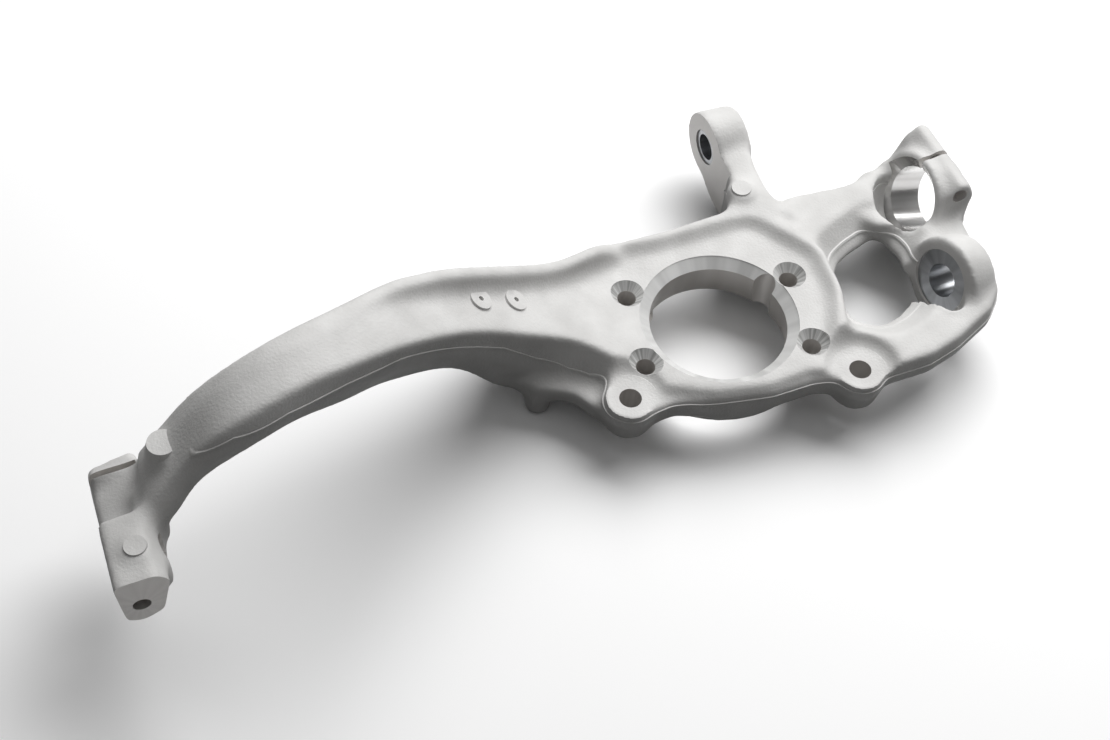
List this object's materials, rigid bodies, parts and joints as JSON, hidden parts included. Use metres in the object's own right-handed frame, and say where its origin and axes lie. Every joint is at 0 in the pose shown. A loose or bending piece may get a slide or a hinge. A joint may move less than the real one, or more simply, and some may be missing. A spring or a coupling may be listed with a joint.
{
  "type": "steering knuckle",
  "caption": "Forged aluminium steering knuckle with a machined hub bore, a long curved neck to two link clamps, a steering arm and two lower ball joint eyes.",
  "frame": {"origin": "centre of the machined hub bore at its inboard rim", "axes": "+Z along the hub axis towards the inboard side of the vehicle, +X across the hub towards the lower ball joints, +Y towards the steering arm"},
  "size_m": [0.5923, 0.3488, 0.1546],
  "materials": {
    "forged_aluminium": "satin",
    "bush_steel": "satin"
  },
  "bodies": {
    "root": {"knuckle_body": "forged_aluminium", "lower_ball_joint_bush": "bush_steel", "steering_arm_bush": "bush_steel"}
  },
  "joints": []
}
